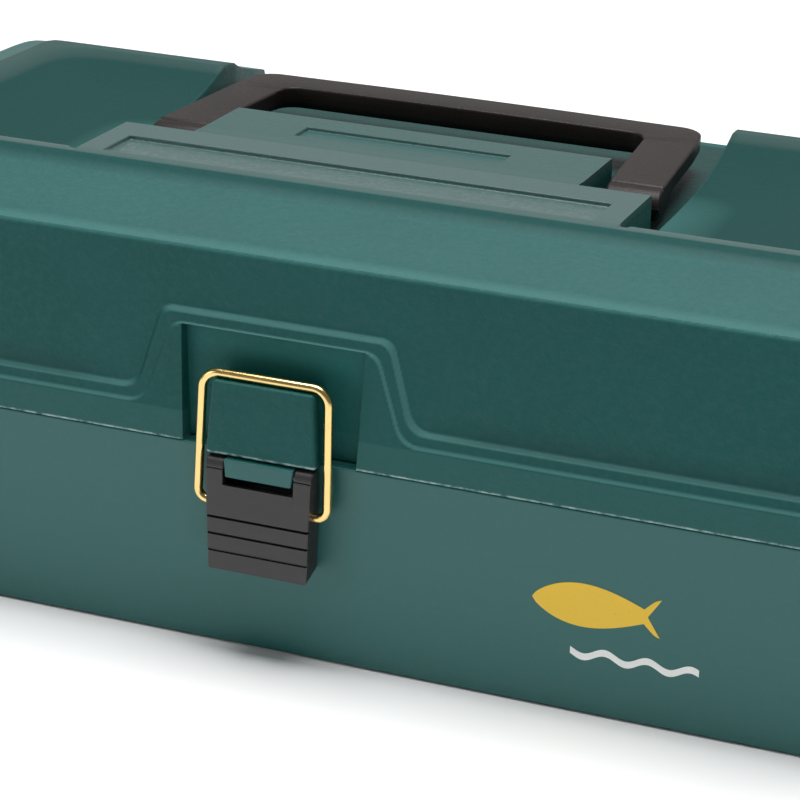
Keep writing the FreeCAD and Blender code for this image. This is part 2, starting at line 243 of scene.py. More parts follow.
class Recipe:
    # one material and its nodes
    def __init__(self, name, colour, **constants):
        self.material = bpy.data.materials.new(name)
        self.material.use_nodes = True
        self.tree = self.material.node_tree
        self.shader = self.tree.nodes["Principled BSDF"]
        self.shader.inputs["Base Color"].default_value = (*colour, 1)
        for socket, value in constants.items():
            self.shader.inputs[socket.replace("_", " ")].default_value = value
        self.place = self.node("ShaderNodeTexCoord", out="Object")
        self.axes = {}

    def node(self, kind, settings=None, inputs=None, out=0):
        made = self.tree.nodes.new(kind)
        for key, value in (settings or {}).items():
            setattr(made, key, value)
        for key, value in (inputs or {}).items():
            if isinstance(value, Signal):
                self.tree.links.new(value.socket, made.inputs[key])
            else:
                made.inputs[key].default_value = value
        return Signal(self, made.outputs[out])

    def noise(self, scale, detail=2.0, roughness=0.5, stretch=None):
        place = self.place
        if stretch:
            place = self.node("ShaderNodeMapping", inputs={"Vector": self.place, "Scale": stretch})
        return self.node("ShaderNodeTexNoise", inputs={"Vector": place, "Scale": scale, "Detail": detail,
                                                      "Roughness": roughness})

    def ramp(self, signal, low, high):
        return self.node("ShaderNodeMapRange", {"clamp": True}, {0: signal, 1: low, 2: high, 3: 0.0, 4: 1.0})

    def edge(self, axis, start, full):
        # 0 at start and 1 at full, both places along an axis in millimetres
        if axis not in self.axes:
            self.axes[axis] = self.node("ShaderNodeSeparateXYZ", inputs={0: self.place}, out=axis)
        return self.ramp(self.axes[axis], start * mm, full * mm)

    def zone(self, edges):
        # product of several edges
        mask = self.edge(*edges[0])
        for nextEdge in edges[1:]:
            mask = mask * self.edge(*nextEdge)
        return mask

    def mixColour(self, factor, first, second):
        first = first if isinstance(first, Signal) else (*first, 1)
        second = second if isinstance(second, Signal) else (*second, 1)
        return self.node("ShaderNodeMix", {"data_type": "RGBA"}, {0: factor, 6: first, 7: second}, out=2)

    def feed(self, socket, signal):
        self.tree.links.new(signal.socket, self.shader.inputs[socket])

    def bump(self, height, strength, distance):
        self.feed("Normal", self.node("ShaderNodeBump", inputs={"Height": height, "Strength": strength,
                                                                "Distance": distance}))


def tinted(colour, factor):
    return tuple(min(1.0, c * factor) for c in colour)


# fine pebble of a moulded lid: grain in two sizes and faint clouds, with a smoother skin on the upper faces
# some colours stand in for light: painted shade for the hollows, the crown's tops and the ledge sides, painted
# highlights for the ledges and the shoulder, painted light for the latch recess floor
lidFinish = {"colour": (0.005, 0.074, 0.069), "cloud": (0.00675, 0.0999, 0.09315), "pale": (0.16, 0.24, 0.23),
             "paintedShade": (0.003, 0.034, 0.031), "paintedTopShade": (0.018, 0.050, 0.046), "paintedHighlight": (0.062, 0.190, 0.178),
             "skirtBand": (0.026, 0.112, 0.106), "paintedRecessLight": (0.009, 0.1332, 0.1242), "flash": (0.40, 0.56, 0.54),
             "roughness": 0.50, "specular": 0.20, "skin": 0.30, "skinRoughness": 0.38,
             "grain": 1700.0, "coarse": 520.0, "bump": (0.75, 0.00032)}

# where the lid's surface changes: an axis, where a mask starts and where it is full, in millimetres
lidZones = {
    "panel": (("Z", 120.5, 121.5), ("Y", -52.0, -50.5), ("Y", -34.5, -35.8),
              ("X", -72.5, -71.0), ("X", 72.5, 71.0)),
    # scoops: the scooped ends, which get painted shade
    "scoops": (("Y", -53.5, -49.5), ("Z", shoulderZ - 0.6, shoulderZ + 0.4), ("Y", 66.0, 64.0),
               ("X", -150.0, -147.0), ("X", 150.0, 147.0)),
    # crown: the raised tops, which get painted shade and a glossier coat
    "crown": (("Z", 121.2, 121.9), ("Y", -56.8, -56.0)),
    # well: the handle well, which gets painted shade
    "well": (("Z", 113.8, 111.8), ("Y", -20.5, -19.5), ("Y", 93.5, 92.0),
             ("X", -85.0, -83.8), ("X", 85.0, 83.8)),
    # shoulder: the turn from wall to bevel, which gets a painted highlight
    "shoulder": (("Z", shoulderZ - 1.3, shoulderZ - 0.5), ("Z", shoulderZ + 0.9, shoulderZ + 0.2)),
    # underLip: the bevel just below the front lip, which gets painted shade
    "underLip": (("Y", -64.0, -58.5), ("Y", -55.8, -56.8), ("Z", 117.0, 119.5)),
    # skirt: the wall below the lower ledge, which gets a lighter band
    "skirt": (("Z", 68.2, 67.6), ("Y", -100.4, -99.8)),
    # aboveLedge: the wall just above the upper ledge, which gets painted shade
    "aboveLedge": (("Z", 80.0, 73.2), ("Z", 71.8, 72.2)),
    # recess: the floor of the latch recess, which gets painted light
    "recess": (("Y", -96.2, -95.8), ("Y", -92.0, -93.0), ("Z", 93.0, 91.5),
               ("X", -26.2, -25.5), ("X", 26.2, 25.5)),
    "flash": (("Y", -95.5, -96.5), ("Z", partingZ + 0.85, partingZ + 0.55),
              ("Z", partingZ + 0.10, partingZ + 0.16)),
    "catchFlash": (("Y", -103.5, -104.5), ("Z", partingZ + 1.35, partingZ + 1.0),
                   ("Z", partingZ + 0.35, partingZ + 0.45))}


def lidPlastic():
    f = lidFinish
    r = Recipe("lidPlastic", f["colour"], Roughness=f["roughness"], Specular_IOR_Level=f["specular"],
               Coat_Roughness=f["skinRoughness"])
    cloud = r.noise(26.0, 3.0)
    mottle = r.noise(f["coarse"], 3.0, 0.6)
    grain = r.noise(f["grain"], 2.0, 0.6)
    zone = {name: r.zone(edges) for name, edges in lidZones.items()}
    specks = r.ramp(r.noise(800.0, 4.0, 0.75), 0.50, 0.62)   # scuffs on the sunk panel
    ends = r.edge("X", -81.5, -83.5) + r.edge("X", 81.5, 83.5)
    scoops = zone["scoops"] * ends * (r.edge("Z", 123.2, 121.5) * 0.4 + 0.6)
    aside = r.edge("X", 44.0, 60.0) + r.edge("X", -44.0, -60.0)   # clear of the latch recess
    # painted light on the ledges, per point: highlight where they face up or right, shade where they face left
    ledgeLight = r.node("ShaderNodeAttribute", {"attribute_name": "paintedLedgeLight"}, out="Fac")
    ragged = r.ramp(r.noise(420.0, 4.0, 0.6), 0.36, 0.62)   # moulding flash left along the lower rim
    flash = zone["flash"].combine("MAXIMUM", zone["flash"], zone["catchFlash"]) * ragged
    # layers over the colour, in order: random clouds and mottle, scuffs on the panel, painted shade in the
    # scoops, painted shade on the crown's tops, painted shade in the handle well, painted highlights and
    # painted shade on the ledge slopes, a painted highlight along the shoulder, painted shade under the lip, a
    # lighter band on the skirt, painted shade above the upper ledge, painted light in the latch recess, and
    # moulding flash
    layers = ((r.ramp(cloud, 0.35, 0.7) * 0.25, "cloud"), (r.ramp(mottle, 0.42, 0.72) * 0.05, "pale"),
              (zone["panel"] * (specks * 0.55 + 0.12), "pale"), (scoops * 0.85, "paintedShade"),
              (zone["crown"] * 0.6, "paintedTopShade"), (zone["well"] * 0.95, "paintedShade"),
              (r.ramp(ledgeLight, 0.05, 0.8) * 0.85, "paintedHighlight"), (r.ramp(ledgeLight, -0.05, -0.7) * 0.75, "paintedShade"),
              (zone["shoulder"] * 0.35, "paintedHighlight"), (zone["underLip"] * 0.6, "paintedShade"),
              (zone["skirt"] * 0.65, "skirtBand"), (zone["aboveLedge"] * aside * 0.35, "paintedShade"),
              (zone["recess"] * 0.6, "paintedRecessLight"), (flash * 0.75, "flash"))
    colour = f["colour"]
    for share, over in layers:
        colour = r.mixColour(share, colour, f[over])
    r.feed("Base Color", colour)
    r.feed("Roughness", f["roughness"] + (grain - 0.5) * 0.22 + (cloud - 0.5) * 0.12
           + (scoops + zone["underLip"]) * 0.32)
    skin = r.edge("Z", shoulderZ - 2.0, shoulderZ + 1.5) * f["skin"]
    skin = skin * (1 - scoops) * (1 - zone["underLip"] * 0.9)
    r.feed("Coat Weight", skin + zone["crown"] * (r.edge("Y", -20.0, -22.5) * 0.35 + 0.15))
    r.bump(grain * 0.7 + mottle * 0.9, *f["bump"])
    return r.material


# smooth satin base with very faint flow marks
baseFinish = {"colour": (0.012, 0.104, 0.098), "speck": (0.14, 0.22, 0.21), "roughness": 0.44, "flow": 16.0,
              "stretch": (0.4, 1.0, 2.4), "grain": 2400.0, "bump": (0.18, 0.0002)}


def basePlastic():
    f = baseFinish
    r = Recipe("basePlastic", f["colour"], Roughness=f["roughness"])
    flow = r.noise(f["flow"], 4.0, 0.6, f["stretch"])
    speck = r.noise(700.0, 2.0)
    grain = r.noise(f["grain"], 2.0)
    colour = r.mixColour(r.ramp(flow, 0.3, 0.7) * 0.35, f["colour"], tinted(f["colour"], 1.28))
    r.feed("Base Color", r.mixColour(r.ramp(speck, 0.55, 0.8) * 0.05, colour, f["speck"]))
    r.feed("Roughness", f["roughness"] + (flow - 0.5) * 0.10 + (grain - 0.5) * 0.06)
    r.bump(grain * 0.4 + speck * 0.5, *f["bump"])
    return r.material


# brown-black handle with a fine leathery texture
handleFinish = {"colour": (0.011, 0.0075, 0.0068), "dust": (0.25, 0.23, 0.22), "roughness": 0.44,
                "specular": 0.2, "grain": 1300.0, "bump": (0.35, 0.0003)}


def handlePlastic():
    f = handleFinish
    r = Recipe("handlePlastic", f["colour"], Roughness=f["roughness"], Specular_IOR_Level=f["specular"])
    grain = r.noise(f["grain"], 3.0, 0.6)
    cloud = r.noise(60.0, 3.0)
    dust = r.ramp(r.noise(2600.0, 2.0), 0.62, 0.8)
    colour = r.mixColour(r.ramp(cloud, 0.35, 0.7) * 0.5, f["colour"], tinted(f["colour"], 1.6))
    r.feed("Base Color", r.mixColour(dust * 0.12, colour, f["dust"]))
    r.feed("Roughness", f["roughness"] + (grain - 0.5) * 0.25)
    r.bump(grain, *f["bump"])
    return r.material


# black lever with faint upright streaks
leverFinish = {"colour": (0.022, 0.020, 0.021), "roughness": 0.42, "grain": 2000.0,
               "stretch": (0.5, 1.0, 3.0), "bump": (0.2, 0.0002)}


def leverPlastic():
    f = leverFinish
    r = Recipe("leverPlastic", f["colour"], Roughness=f["roughness"])
    grain = r.noise(f["grain"], 2.0)
    streak = r.noise(120.0, 3.0, 0.5, f["stretch"])
    r.feed("Base Color", r.mixColour(r.ramp(streak, 0.35, 0.7) * 0.4, f["colour"], tinted(f["colour"], 1.35)))
    r.feed("Roughness", f["roughness"] + (grain - 0.5) * 0.12)
    r.bump(grain, *f["bump"])
    return r.material


# drawn metals: colour, roughness and how the streaks stretch along the bar
metalFinish = {"bailBrass": ((0.86, 0.62, 0.25), 0.20, (1.0, 1.0, 0.15)),
               "pinSteel": ((0.58, 0.58, 0.60), 0.30, (0.15, 1.0, 1.0)),
               "blackedSteel": ((0.03, 0.03, 0.03), 0.42, (0.15, 1.0, 1.0))}


def drawnMetal(name):
    colour, roughness, stretch = metalFinish[name]
    r = Recipe(name, colour, Metallic=1.0, Roughness=roughness)
    streak = r.noise(900.0, 3.0, 0.6, stretch)
    tarnish = r.ramp(r.noise(140.0, 4.0), 0.45, 0.75)
    r.feed("Base Color", r.mixColour(tarnish * 0.35, colour, tinted(colour, 0.72)))
    r.feed("Roughness", roughness + (streak - 0.5) * 0.12 + tarnish * 0.08)
    r.bump(streak, 0.12, 0.0001)
    return r.material


# pale grey tray with scuffs along its floor
trayFinish = {"colour": (0.46, 0.47, 0.45), "scuff": (0.30, 0.31, 0.30), "roughness": 0.42,
              "stretch": (3.0, 0.6, 1.0), "bump": (0.15, 0.0002)}


def trayPlastic():
    f = trayFinish
    r = Recipe("trayPlastic", f["colour"], Roughness=f["roughness"])
    flow = r.noise(22.0, 4.0)
    grain = r.noise(1800.0, 2.0)
    scuff = r.ramp(r.noise(320.0, 5.0, 0.7, f["stretch"]), 0.60, 0.72)
    colour = r.mixColour(flow, f["colour"], tinted(f["colour"], 0.86))
    r.feed("Base Color", r.mixColour(scuff * 0.25, colour, f["scuff"]))
    r.feed("Roughness", f["roughness"] + scuff * 0.2 + (grain - 0.5) * 0.08)
    r.bump(grain, *f["bump"])
    return r.material


# printed inks, worn in tiny specks
inkFinish = {"yellowInk": (0.78, 0.50, 0.02), "whiteInk": (0.82, 0.84, 0.82), "roughness": 0.35}


def printedInk(name):
    colour, roughness = inkFinish[name], inkFinish["roughness"]
    r = Recipe(name, colour, Roughness=roughness)
    speck = r.ramp(r.noise(1600.0, 3.0), 0.62, 0.74)
    r.feed("Base Color", r.mixColour(speck * 0.35, colour, tinted(colour, 0.6)))
    r.feed("Roughness", roughness + speck * 0.2)
    return r.material


def floorPaper():
    r = Recipe("floorPaper", (0.86, 0.86, 0.86), Roughness=0.75)
    r.feed("Base Color", r.mixColour(r.noise(6.0, 3.0), (0.85, 0.85, 0.85), (0.88, 0.88, 0.88)))
    return r.material


materials = {"lid": lidPlastic(), "base": basePlastic(), "handle": handlePlastic(), "lever": leverPlastic(),
             "brass": drawnMetal("bailBrass"), "steel": drawnMetal("pinSteel"),
             "darkSteel": drawnMetal("blackedSteel"), "tray": trayPlastic(),
             "yellow": printedInk("yellowInk"), "white": printedInk("whiteInk")}
print("materials made")


# rings of the case: points round a rounded rectangle, at columns shared by every ring
caseShape = {"corner": 16.0, "wall": 2.5, "arcSteps": 12, "sideSteps": 20, "backSteps": 40, "gapSteps": 22,
             "gapFrom": 0.505, "gapTo": 0.60}
frontRun, rightRun, backRun, leftRun = 0, 2, 4, 6   # the corners are the odd numbers between


def ringColumns(fineX):
    # front edge left to right, then corner, right end, corner, back, corner, left end, corner
    c = caseShape
    corner = np.linspace(0, 90, c["arcSteps"] + 1)[1:-1]
    sideY = np.linspace(-1, 1, c["sideSteps"])
    closeX = [side * np.linspace(c["gapFrom"], c["gapTo"], c["gapSteps"]) for side in (-1, 1)]
    backX = np.sort(np.concatenate([np.linspace(1, -1, c["backSteps"])] + closeX))[::-1]
    runs = (fineX, corner - 90, sideY, corner, backX, corner + 90, -sideY, corner + 180)
    kind = np.concatenate([np.full(len(run), number) for number, run in enumerate(runs)])
    return kind, np.concatenate(runs)


frontSpan = halfLength - caseShape["corner"]


def ringPoints(columns, half, radius):
    # place and outward direction of each column on one ring: straight runs scaled to the ring, arcs from
    # cosine and sine, and front columns that keep their own X near the middle and move by its cube outwards
    kind, value = columns
    spanX, spanY = half[0] - radius, half[1] - radius
    x, y, nx, ny = np.zeros((4, len(kind)))
    front = kind == frontRun
    own = value[front]
    x[front] = own + (spanX - frontSpan) * (own / frontSpan) ** 3
    y[front], ny[front] = -half[1], -1
    for run, sign in ((rightRun, 1), (leftRun, -1)):
        here = kind == run
        x[here], y[here], nx[here] = sign * half[0], value[here] * spanY, sign
    here = kind == backRun
    x[here], y[here], ny[here] = value[here] * spanX, half[1], 1
    for run, sx, sy in ((1, 1, -1), (3, 1, 1), (5, -1, 1), (7, -1, -1)):
        here = kind == run
        angle = np.radians(value[here])
        nx[here], ny[here] = np.cos(angle), np.sin(angle)
        x[here], y[here] = sx * spanX + radius * nx[here], sy * spanY + radius * ny[here]
    return x, y, nx, ny


# base: drafted walls, eased lower edge, rim with an upstanding tongue
base = {"bottomHalf": (170.2, 94.4), "rimHalf": (halfLength, 99.2), "lowCorner": 14.0, "innerCorner": 12.0,
        "edge": 1.6, "tongue": 3.0, "tongueGap": 0.5, "tongueThick": 1.6, "tongueEase": 0.4,
        "latchGap": 39.2, "hingeGap": 140.0, "floorRound": 2.2, "patchInset": 80.0, "patchCorner": 8.0,
        "sillHalf": 27.7, "sillFront": -97.6, "sillBack": -90.8}


def baseOuterHalf(z):
    # half length and half depth at a height: even draft from the underside to the rim
    t = z / partingZ
    return [b + (r - b) * t for b, r in zip(base["bottomHalf"], base["rimHalf"])]


def makeBase():
    # a profile of half size, corner radius and height carried round the ring, up outside and down inside
    b, wall, corner = base, caseShape["wall"], caseShape["corner"]
    columns = ringColumns(lineStops(-frontSpan, frontSpan, 6.0, (-b["sillHalf"], b["sillHalf"])))
    profile = []

    def step(half, inset, radius, z):
        profile.append(([half[0] - inset, half[1] - inset], radius, z))

    step(baseOuterHalf(0), b["patchInset"], b["patchCorner"], 0.0)
    for angle in np.radians(np.linspace(0, 90, 6)):
        inset, z = b["edge"] * (1 - math.sin(angle)), b["edge"] * (1 - math.cos(angle))
        step(baseOuterHalf(z), inset, b["lowCorner"] - inset, z)
    for z in np.linspace(4, partingZ - 0.6, 16):
        step(baseOuterHalf(z), 0, b["lowCorner"] + (corner - b["lowCorner"]) * z / partingZ, z)
    rim = baseOuterHalf(partingZ)
    for inset, drop in ((0.05, 0.25), (0.25, 0.05), (0.5, 0.0)):
        step(rim, inset, corner, partingZ - drop)
    outer, top, ease = wall + b["tongueGap"], partingZ + b["tongue"], b["tongueEase"]
    inner = outer + b["tongueThick"]
    for inset, z in ((outer, partingZ), (outer, top - ease), (outer + ease, top), (inner - ease, top),
                     (inner, top - ease), (inner, partingZ - 6), (wall + 0.4, partingZ - 8)):
        step(rim, inset, corner - inset * 0.8, z)
    for z in np.linspace(partingZ - 12, 5.0, 8):
        step(baseOuterHalf(z), wall, b["innerCorner"], z)
    floorHalf = baseOuterHalf(wall)
    for angle in np.radians(np.linspace(20, 90, 4)):
        inset = wall + b["floorRound"] * (1 - math.cos(angle))
        step(floorHalf, inset, b["innerCorner"] - inset * 0.7, wall + b["floorRound"] * (1 - math.sin(angle)))
    step(floorHalf, b["patchInset"], b["patchCorner"], wall)
    rings = []
    for half, radius, z in profile:
        x, y, _, _ = ringPoints(columns, half, radius)
        level = np.full(len(x), float(z))
        if z > partingZ + 0.01:   # the tongue stops at the latch and between the hinges
            gap = insideBand(x, -b["latchGap"], b["latchGap"], 0.6) * (columns[0] == frontRun)
            gap = np.maximum(gap, insideBand(x, -b["hingeGap"], b["hingeGap"], 0.6) * (columns[0] == backRun))
            level = level + (partingZ - 0.02 - level) * gap
        rings.append(np.stack([x, y, level], axis=1))
    wide, front, back = b["sillHalf"], b["sillFront"], b["sillBack"]
    corners = [(-wide, front), (wide, front), (wide, back), (-wide, back)]
    sill = prism(corners, 2, partingZ - 4, partingZ - 0.03)
    piece = makePiece("baseShell", [cappedTube(rings), sill], "base", materials["base"])
    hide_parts("base_shell")


# lid walls: skirt with two eased ledges that climb round the latch recess
# each ledge: the height of its top, how far it lies inside the frame's outline, its depth and its softness
lid = {"shoulderHalf": (172.2, 96.4), "skirtHalf": (172.92, 97.12), "gap": 0.08,
       "ledges": ((68.4, 0.0, 0.75, 0.7), (71.9, 3.3, 1.4, 1.2)),
       "padHalf": (39.2, 32.4), "padTop": 95.6, "padFillet": 5.0, "padCorner": 3.5, "padReach": 3.3,
       "recessHalf": (24.9, 26.2), "recessTop": 92.3, "recessFloor": -94.4, "recessRise": 1.6,
       "crisp": 0.11, "backEdge": 94.0,
       "middle": 46.0, "middleSteps": 185, "outerSteps": 18, "bendWidth": 7.0,
       "rimEase": ((0.6, 0.0), (0.2, 0.05), (0.05, 0.2)),
       "shoulderEase": ((0.0, -1.9), (0.08, -1.2), (0.28, -0.6), (0.62, -0.18), (1.1, -0.3), (1.9, -1.2))}


def trapezoidDepth(x, z, half, bottomZ, topZ, corner):
    # how far a point lies inside a trapezoid that is open below: the nearer of its sloping side and its top,
    # rounded where they meet
    slope = (half[0] - half[1]) / (topZ - bottomZ)
    side = (half[0] - slope * (z - bottomZ) - np.abs(x)) / math.hypot(1, slope)
    return softMin(side, topZ - z, corner)


def ledgeRaise(x, z, onFront):
    # thickness that the ledges add to the wall: a soft step of each one's depth as its edge is passed
    p = lid
    total = np.zeros(np.broadcast(x, z).shape)
    for level, inset, thick, soft in p["ledges"]:
        reach = p["padReach"] - inset
        half = (p["padHalf"][0] - reach, p["padHalf"][1] - reach)
        inside = trapezoidDepth(x, z, half, p["ledges"][1][0], p["padTop"] - reach, p["padCorner"])
        inside = np.where(onFront, softMax(level - z, inside, p["padFillet"]), level - z)
        total += thick * smoothStep(-soft, soft * 0.35, inside)
    return total


def makeLidWalls():
    # rings of the wall from the rim up the outside to the shoulder and down the inside; each ring is the
    # drafted rounded rectangle plus the ledges, with the recess pushed in on the front
    p, wall, corner = lid, caseShape["wall"], caseShape["corner"]
    low, high = partingZ + p["gap"], shoulderZ
    recessEdge = sum(p["recessHalf"]) / 2
    widening = p["recessHalf"][1] - p["recessHalf"][0]
    span = p["recessTop"] - low
    middle = np.linspace(-p["middle"], p["middle"], p["middleSteps"])
    middle = middle[np.abs(np.abs(middle) - recessEdge) > 0.6]
    outer = [side * np.linspace(p["middle"] + 3, frontSpan, p["outerSteps"]) for side in (-1, 1)]
    fine = [side * (recessEdge + np.array([-0.45, -0.16, -0.05, 0.05, 0.16, 0.45])) for side in (-1, 1)]
    columns = ringColumns(np.unique(np.round(np.concatenate([middle, *outer, *fine]), 3)))
    onFront, onBack = columns[0] == frontRun, columns[0] == backRun
    levels = lineStops(low + 0.4, 98.0, 0.5, (p["recessTop"],), (0.45, 0.16, 0.05))
    levels = np.concatenate([levels, np.linspace(99.5, high - 2.4, 8)])

    def wallHalf(z):
        t = (z - low) / (high - low)
        return [a + (b - a) * t for a, b in zip(p["skirtHalf"], p["shoulderHalf"])]

    def outerRing(z, inset=0.0):
        x, y, nx, ny = ringPoints(columns, [h - inset for h in wallHalf(z)], corner)
        near = np.clip(1 - np.abs(np.abs(x) - recessEdge) / p["bendWidth"], 0, 1) * onFront
        x = x + np.sign(x) * near * (z - (low + p["recessTop"]) / 2) / span * widening
        raised = ledgeRaise(x, z, onFront)
        x, y = x + nx * raised, y + ny * raised
        share = np.clip((z - low) / span, 0, 1)
        edge = p["recessHalf"][0] + widening * (z - low) / span
        sunk = (1 - smoothStep(edge - p["crisp"], edge + p["crisp"], np.abs(x))) * onFront
        sunk = sunk * (1 - smoothStep(p["recessTop"] - p["crisp"], p["recessTop"] + p["crisp"], z))
        y = y + (p["recessFloor"] - p["recessRise"] * share + inset - y) * sunk
        limit = topHeight(x, np.full(len(x), p["backEdge"])) + 0.05 - inset * 0.3
        return np.stack([x, y, np.where(onBack, np.minimum(z, limit), z)], axis=1)

    rings = [outerRing(low + rise, inset) for inset, rise in p["rimEase"]]
    rings += [outerRing(z) for z in levels]
    rings += [outerRing(high + rise, inset) for inset, rise in p["shoulderEase"]]
    shelter, ceiling = p["recessHalf"][1] + wall, p["recessTop"] + wall
    for z in (high - 3, 104, 98, ceiling + 0.3, ceiling - 0.3, 80, 72, 66, low + 1.2, low):
        half = wallHalf(z) if z > 70 else [h - 0.2 for h in base["rimHalf"]]
        x, y, _, _ = ringPoints(columns, [h - wall for h in half], corner - wall)
        inner = insideBand(x, -shelter, shelter, 0.8) * onFront * (z < ceiling)
        y = y + (p["recessFloor"] + wall - y) * inner
        limit = topHeight(x, np.full(len(x), p["backEdge"])) - wall
        rings.append(np.stack([x, y, np.where(onBack, np.minimum(z, limit), z)], axis=1))
    faces = gridFaces(len(rings), len(columns[0]), closeRows=True, closeColumns=True)
    return closedShell(np.array(rings), faces)


# lid top: bevel, raised lip, plateaus, panels, handle well and the scooped ends, as one height field
# each panel: half length, front and back edge, and depth
top = {"outlineInset": 0.62, "outlineDrop": 0.16, "lipFront": -56.4, "lipBack": 64.0, "lipEnd": 148.0,
       "bevelTop": 121.2, "lipRise": 1.5, "lipReach": 6.0, "lipWidth": 2.6, "lipFade": 5.5, "lipDrop": 0.25,
       "ridge": 6.5, "blockEnd": 83.0, "nose": 1.2, "cornerRound": 9.0, "scoopSlope": 0.33, "scoopDepth": 9.4,
       "scoopBlend": 16.0, "lowerHalf": 79.8, "lowerBack": -21.3, "upperHalf": 58.7, "upperBack": 12.5,
       "upperDrops": ((0.0, 0.3, 0.28), (3.5, 0.3, 0.22)), "crisp": 0.22, "wellFloor": 108.6,
       "panelOne": (72.0, -52.5, -34.9, 1.2), "panelTwo": (31.4, -9.5, 0.9, 1.0), "stepX": 3.6, "stepY": 2.6,
       "edgeSpread": (0.6, 0.3, 0.14, 0.03)}


def topHeight(x, y):
    # the lower of the bevels' planes and, inside them, the highest of scoops, plateaus and lip over the well
    t = top
    away = np.abs(x)
    halfX, halfY = [h - t["outlineInset"] for h in lid["shoulderHalf"]]
    start = shoulderZ - t["outlineDrop"]

    def bevelSide(distance, run):
        # rises evenly, then turns up to the lip over its last stretch
        even = start + (t["bevelTop"] - start) * distance / run
        return even + t["lipRise"] * smoothStep(run - t["lipReach"], run, distance)

    front = bevelSide(y + halfY, halfY + t["lipFront"])
    back = bevelSide(halfY - y, halfY - t["lipBack"])
    end = bevelSide(halfX - away, halfX - t["lipEnd"])
    slope = softMin(softMin(front, back, 1.2), end, 1.6)
    crown = softMin(slope, np.full(x.shape, crownZ + 0.12), 0.5)
    lip = smoothStep(t["lipFront"] + t["lipWidth"] + t["lipFade"], t["lipFront"] + t["lipWidth"], y)

    # scooped ends: depth times tanh of the distance in from a flat ridge along the back and the end
    inward = softMin(t["lipBack"] - t["ridge"] - y, t["lipEnd"] - t["ridge"] - away, t["scoopBlend"])
    fall = t["scoopDepth"] * np.tanh(t["scoopSlope"] * np.maximum(inward, 0) / t["scoopDepth"])
    scooped = crownZ - fall * smoothStep(-0.4, 0.9, inward)
    scooped = scooped + (crownZ - t["lipDrop"] - scooped) * lip
    # a quarter-ellipse nose takes each end block down to the well; its back corner is rounded in plan
    turn = np.clip(y - (halfY - t["cornerRound"]), 0, t["cornerRound"]) / t["cornerRound"]
    innerEnd = t["blockEnd"] + t["cornerRound"] * (1 - np.sqrt(1 - turn ** 2))
    beyond = np.clip((innerEnd - away) / t["nose"], 0, 1)
    nose = t["wellFloor"] + np.maximum(scooped - t["wellFloor"], 0) * np.sqrt(1 - beyond ** 2)
    surface = np.where(away > innerEnd, scooped, nose)

    # plateaus with sunk panels between the ends
    def plateau(half, backY):
        return insideBand(away, -1, half) * (1 - smoothStep(backY - t["crisp"], backY + t["crisp"], y))

    raised = np.full(x.shape, crownZ)
    for after, soft, drop in t["upperDrops"]:
        raised = raised - drop * smoothStep(t["lowerBack"] + after - soft, t["lowerBack"] + after + soft, y)
    for half, yLow, yHigh, depth in (t["panelOne"], t["panelTwo"]):
        raised = raised - depth * insideBand(away, -1, half) * insideBand(y, yLow, yHigh)
    lower, upper = plateau(t["lowerHalf"], t["lowerBack"]), plateau(t["upperHalf"], t["upperBack"])
    surface = surface + (raised - surface) * np.maximum(lower, upper)
    # the front lip stands across the whole top
    surface = surface + np.maximum(crownZ - t["lipDrop"] - surface, 0) * lip
    return softMin(crown, surface, 0.35)


def squareToRounded(x, y, half, radius):
    # pulls the corners of a rectangular grid in to a rounded rectangle: inside each corner the square with
    # coordinates u and v goes to u times the root of 1 minus half v squared, and the same for v
    spanX, spanY = half[0] - radius, half[1] - radius
    u = np.clip((np.abs(x) - spanX) / radius, 0, 1)
    v = np.clip((np.abs(y) - spanY) / radius, 0, 1)
    newX = np.where((u > 0) & (v > 0), np.sign(x) * (spanX + radius * u * np.sqrt(1 - v * v / 2)), x)
    newY = np.where((u > 0) & (v > 0), np.sign(y) * (spanY + radius * v * np.sqrt(1 - u * u / 2)), y)
    return newX, newY


def makeLidTop():
    # a grid on the top's outline raised by topHeight, over a lower copy at least a wall's thickness below
    t, wall = top, caseShape["wall"]
    halfX, halfY = [h - t["outlineInset"] for h in lid["shoulderHalf"]]
    edgesX = [t["panelTwo"][0], t["upperHalf"], t["panelOne"][0], t["lowerHalf"],
              t["blockEnd"] - t["nose"] / 2, t["blockEnd"] + 2.5, t["blockEnd"] + 5.0]
    edgesX = [s * e for s in (-1, 1) for e in edgesX]
    edgesY = [t["lipFront"], t["panelOne"][1], t["panelOne"][2], t["lowerBack"], t["panelTwo"][1],
              t["panelTwo"][2], t["upperBack"], t["lipBack"] - t["ridge"]]
    xs = lineStops(-halfX, halfX, t["stepX"], edgesX, t["edgeSpread"])
    ys = lineStops(-halfY, halfY, t["stepY"], edgesY, t["edgeSpread"])
    x, y = squareToRounded(*np.meshgrid(xs, ys), (halfX, halfY), caseShape["corner"] - t["outlineInset"])
    z = topHeight(x, y)
    under = z.copy()
    for dx in (-wall, 0, wall):
        for dy in (-wall, 0, wall):
            under = np.minimum(under, topHeight(x + dx, y + dy))
    shrink = 1 - 0.7 / halfY
    upper = np.stack([x, y, z], axis=-1).reshape(-1, 3)
    lower = np.stack([x * shrink, y * shrink, under - wall], axis=-1).reshape(-1, 3)
    rows, cols = x.shape
    offset = rows * cols
    faces = gridFaces(rows, cols)
    faces += [[i + offset for i in face[::-1]] for face in faces]
    index = np.arange(offset).reshape(rows, cols)
    border = np.concatenate([index[0], index[1:, -1], index[-1, -2::-1], index[-2:0:-1, 0]])
    following = np.roll(border, -1)
    faces += np.stack([following, border, border + offset, following + offset], axis=1).tolist()
    return closedShell(np.concatenate([upper, lower]), faces)


